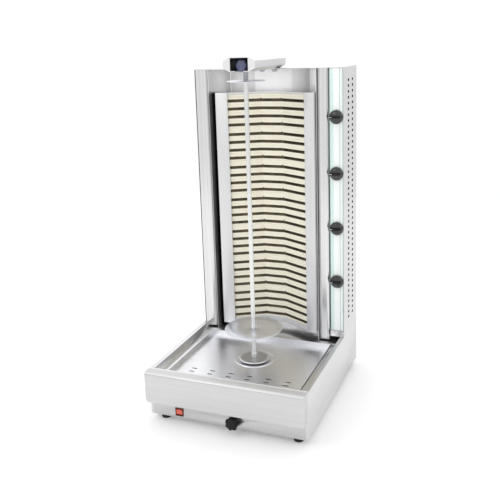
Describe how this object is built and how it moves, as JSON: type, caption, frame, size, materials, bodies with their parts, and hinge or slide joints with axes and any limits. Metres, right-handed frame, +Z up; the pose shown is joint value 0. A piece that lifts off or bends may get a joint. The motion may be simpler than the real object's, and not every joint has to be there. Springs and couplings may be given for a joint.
{
  "type": "rotisserie oven",
  "caption": "Vertical electric rotisserie grill: a turning spit with meat plates stands on a drip tray in front of a tall ceramic heater with knobs beside it.",
  "frame": {"origin": "on the floor under the middle of the whole machine's outer box", "axes": "+Z up, the drawer and controls face -Y, +X is the side with the heater knobs"},
  "size_m": [0.52, 0.646, 1.12],
  "materials": {
    "brushed_steel": "fine brushed grain",
    "satin_liner": "bright satin",
    "polished_steel": "polished",
    "zinc_steel": "zinc plated",
    "black_rubber": "matt",
    "black_plastic": "satin moulded",
    "blue_black_plastic": "satin moulded",
    "red_switch": "translucent gloss",
    "tinted_glass": "polished, pale green",
    "cream_ceramic": "matt ceramic",
    "coil_wire": "oxidised wire",
    "insulation": "matt board",
    "painted_cast": "satin",
    "ivory_plastic": "satin moulded"
  },
  "bodies": {
    "root": {"base_side_left": "brushed_steel", "base_side_right": "brushed_steel", "base_floor": "brushed_steel", "base_rear": "brushed_steel", "plinth_front": "brushed_steel", "front_rail": "brushed_steel", "rear_deck": "brushed_steel", "drip_tray": "satin_liner", "foot_pads": "black_rubber", "foot_studs": "zinc_steel", "foot_nuts": "zinc_steel", "drawer_runners": "brushed_steel", "guide_rails": "polished_steel", "rail_brackets": "brushed_steel", "tower_side_left": "brushed_steel", "tower_side_right": "brushed_steel", "tower_rear": "brushed_steel", "tower_lid": "brushed_steel", "column_left": "brushed_steel", "column_right": "brushed_steel", "glass_fascia": "tinted_glass", "fascia_backing": "satin_liner", "glass_sill": "brushed_steel", "heat_liner": "satin_liner", "heater_strip_left": "satin_liner", "heater_strip_right": "satin_liner", "heater_bottom_channel": "satin_liner", "heater_top_channel": "satin_liner", "ceramic_left": "cream_ceramic", "ceramic_centre": "cream_ceramic", "ceramic_right": "cream_ceramic", "heating_coils": "coil_wire", "insulation_board": "insulation", "arm_channel": "brushed_steel", "arm_bolts": "zinc_steel", "energy_regulators": "ivory_plastic", "rocker_frame": "red_switch", "terminal_block": "ivory_plastic", "cable_gland": "black_plastic"},
    "drawer": {"drawer_front": "brushed_steel", "grease_pan": "brushed_steel"},
    "carriage": {"carriage_plate": "brushed_steel", "gearbox": "painted_cast", "gear_motor": "painted_cast"},
    "spit": {"drive_spindle": "polished_steel", "drive_flange": "polished_steel", "spit_socket": "polished_steel", "spit_shaft": "polished_steel", "meat_plate": "polished_steel"},
    "top_disc": {"top_disc": "polished_steel"},
    "distance_screw": {"distance_screw": "polished_steel", "distance_knob": "black_plastic"},
    "top_slider": {"bearing_block": "black_plastic"},
    "bearing_pin": {"bearing_pin": "zinc_steel"},
    "clamp_knob": {"clamp_knob": "blue_black_plastic"},
    "heater_knob_1": {"heater_knob_1": "black_plastic"},
    "heater_knob_2": {"heater_knob_2": "black_plastic"},
    "heater_knob_3": {"heater_knob_3": "black_plastic"},
    "heater_knob_4": {"heater_knob_4": "black_plastic"},
    "rocker": {"rocker_paddle": "red_switch"}
  },
  "joints": [
    {"name": "drawer_slide", "type": "slide", "parent": "root", "child": "drawer", "axis": [0, -1, 0], "range_m": [0, 0.16]},
    {"name": "carriage_slide", "type": "slide", "parent": "root", "child": "carriage", "axis": [0, 1, 0], "range_m": [-0.015, 0.015]},
    {"name": "distance_screw_turn", "type": "hinge", "parent": "root", "child": "distance_screw", "pos_m": [0.024, -0.318, 0.041], "axis": [0, 1, 0], "range_deg": [-900, 900]},
    {"name": "top_slider_slide", "type": "slide", "parent": "root", "child": "top_slider", "axis": [0, 1, 0], "range_m": [-0.015, 0.015]},
    {"name": "bearing_pin_lift", "type": "slide", "parent": "top_slider", "child": "bearing_pin", "axis": [0, 0, 1], "range_m": [0, 0.018], "stiffness_N_per_m": 250, "springref_m": -0.012},
    {"name": "clamp_knob_turn", "type": "hinge", "parent": "top_slider", "child": "clamp_knob", "pos_m": [0, -0.106, 1.0945], "axis": [0, 1, 0], "range_deg": [0, 180]},
    {"name": "spit_spin", "type": "hinge", "parent": "carriage", "child": "spit", "pos_m": [0, -0.046, 0.14], "axis": [0, 0, 1], "continuous": true},
    {"name": "top_disc_slide", "type": "slide", "parent": "spit", "child": "top_disc", "axis": [0, 0, 1], "range_m": [-0.6, 0]},
    {"name": "heater_knob_1_turn", "type": "hinge", "parent": "root", "child": "heater_knob_1", "pos_m": [0.237, 0.12, 0.921], "axis": [0, 1, 0], "range_deg": [0, 270]},
    {"name": "heater_knob_2_turn", "type": "hinge", "parent": "root", "child": "heater_knob_2", "pos_m": [0.237, 0.12, 0.737], "axis": [0, 1, 0], "range_deg": [0, 270]},
    {"name": "heater_knob_3_turn", "type": "hinge", "parent": "root", "child": "heater_knob_3", "pos_m": [0.237, 0.12, 0.553], "axis": [0, 1, 0], "range_deg": [0, 270]},
    {"name": "heater_knob_4_turn", "type": "hinge", "parent": "root", "child": "heater_knob_4", "pos_m": [0.237, 0.12, 0.369], "axis": [0, 1, 0], "range_deg": [0, 270]},
    {"name": "power_rocker", "type": "hinge", "parent": "root", "child": "rocker", "pos_m": [-0.16, -0.285, 0.039], "axis": [1, 0, 0], "range_deg": [-10, 10]}
  ],
  "couplings": [
    {"joint": "distance_screw_turn", "follows": "carriage_slide", "rad_per_m": -1047.2},
    {"joint": "top_slider_slide", "follows": "carriage_slide", "ratio": 1}
  ]
}
